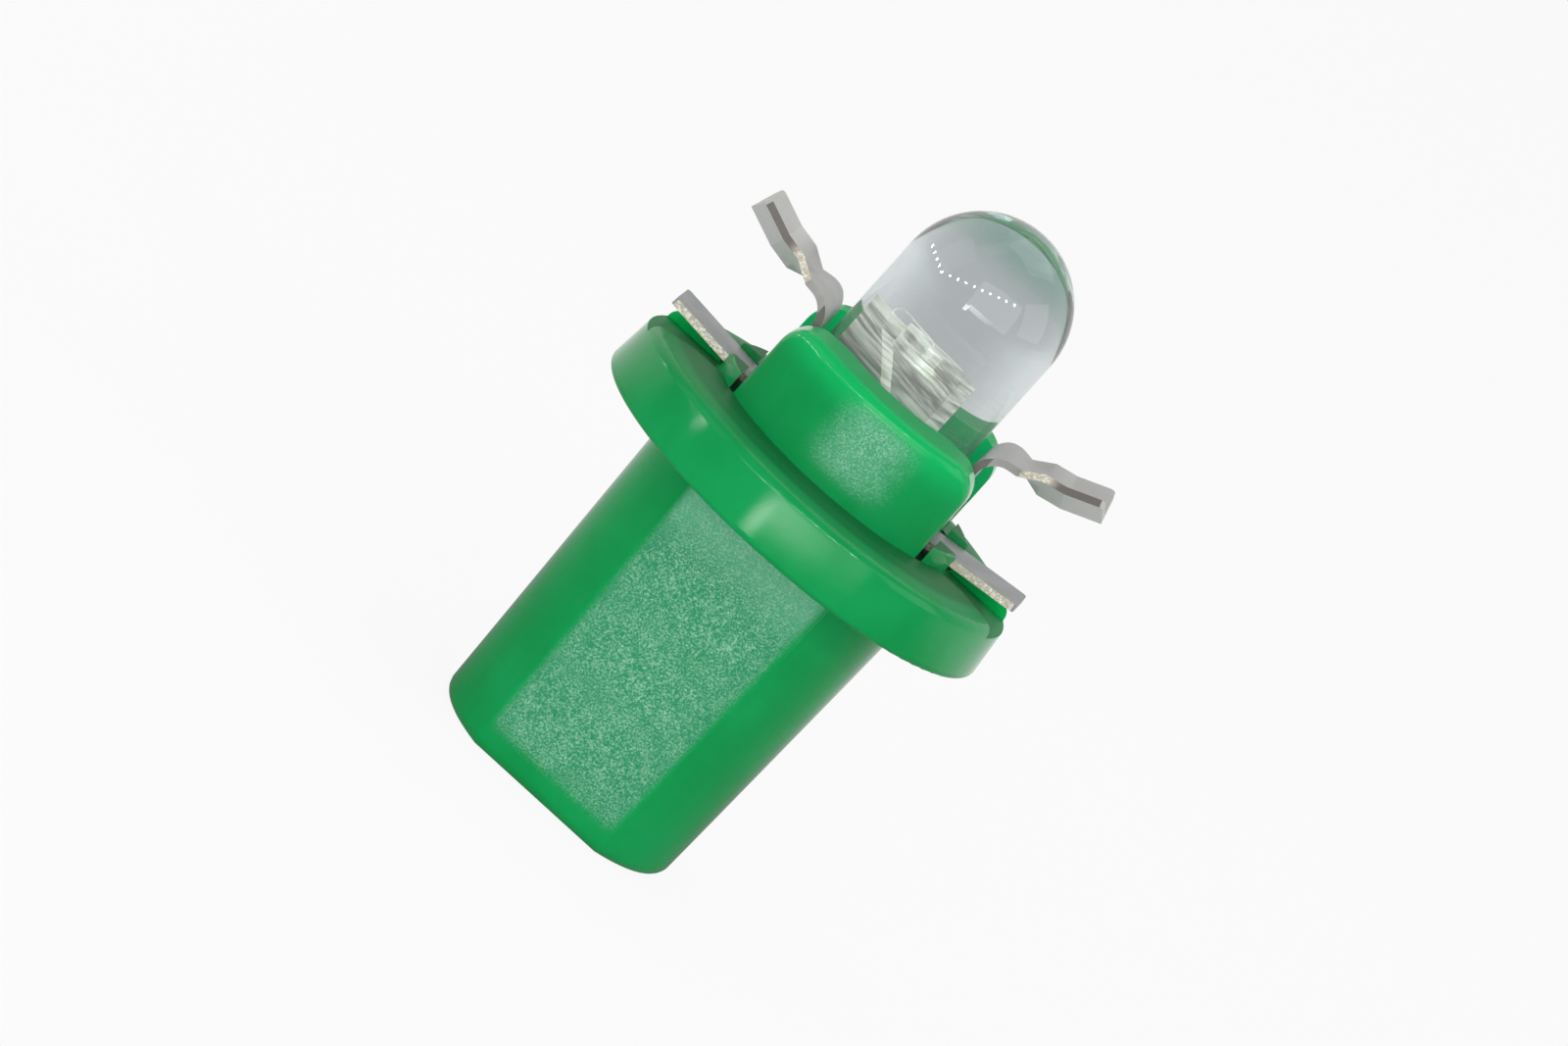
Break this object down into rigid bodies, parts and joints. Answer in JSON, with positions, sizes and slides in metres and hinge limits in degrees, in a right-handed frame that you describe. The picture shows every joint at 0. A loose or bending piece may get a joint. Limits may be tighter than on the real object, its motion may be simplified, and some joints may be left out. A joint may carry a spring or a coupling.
{
  "type": "led instrument bulb",
  "caption": "Twist-lock instrument-panel lamp: moulded grip and flange, collar, two bent spring contacts, clear domed LED and a series resistor inside.",
  "frame": {"origin": "centre of the grip's flat end face", "axes": "+Z along the lamp axis towards the lens tip, X along the two contact strips"},
  "size_m": [0.013, 0.013, 0.0201],
  "materials": {
    "holder_plastic": "moulded, semi-gloss, spark-textured grip flats",
    "tinned_strip": "tin-plated, satin, bright sheared edges",
    "clear_epoxy": "clear cast epoxy",
    "lead_frame": "silver-plated stamping",
    "chip": "sawn semiconductor",
    "silver_glue": "cured conductive glue",
    "bond_gold": "bright drawn wire",
    "resistor_lacquer": "dipped lacquer",
    "pressed_cap": "plated cap",
    "tinned_wire": "tinned wire",
    "solder": "satin solder"
  },
  "bodies": {
    "root": {"base_holder": "holder_plastic", "contact_left": "tinned_strip", "contact_right": "tinned_strip", "led_lens": "clear_epoxy", "led_anvil": "lead_frame", "led_post": "lead_frame", "led_die": "chip", "led_die_attach": "silver_glue", "led_bond_wire": "bond_gold", "resistor_body": "resistor_lacquer", "resistor_cap_lower": "pressed_cap", "resistor_cap_upper": "pressed_cap", "resistor_lead_lower": "tinned_wire", "resistor_lead_upper": "tinned_wire", "solder_left": "solder", "solder_middle": "solder", "solder_right": "solder"}
  },
  "joints": []
}
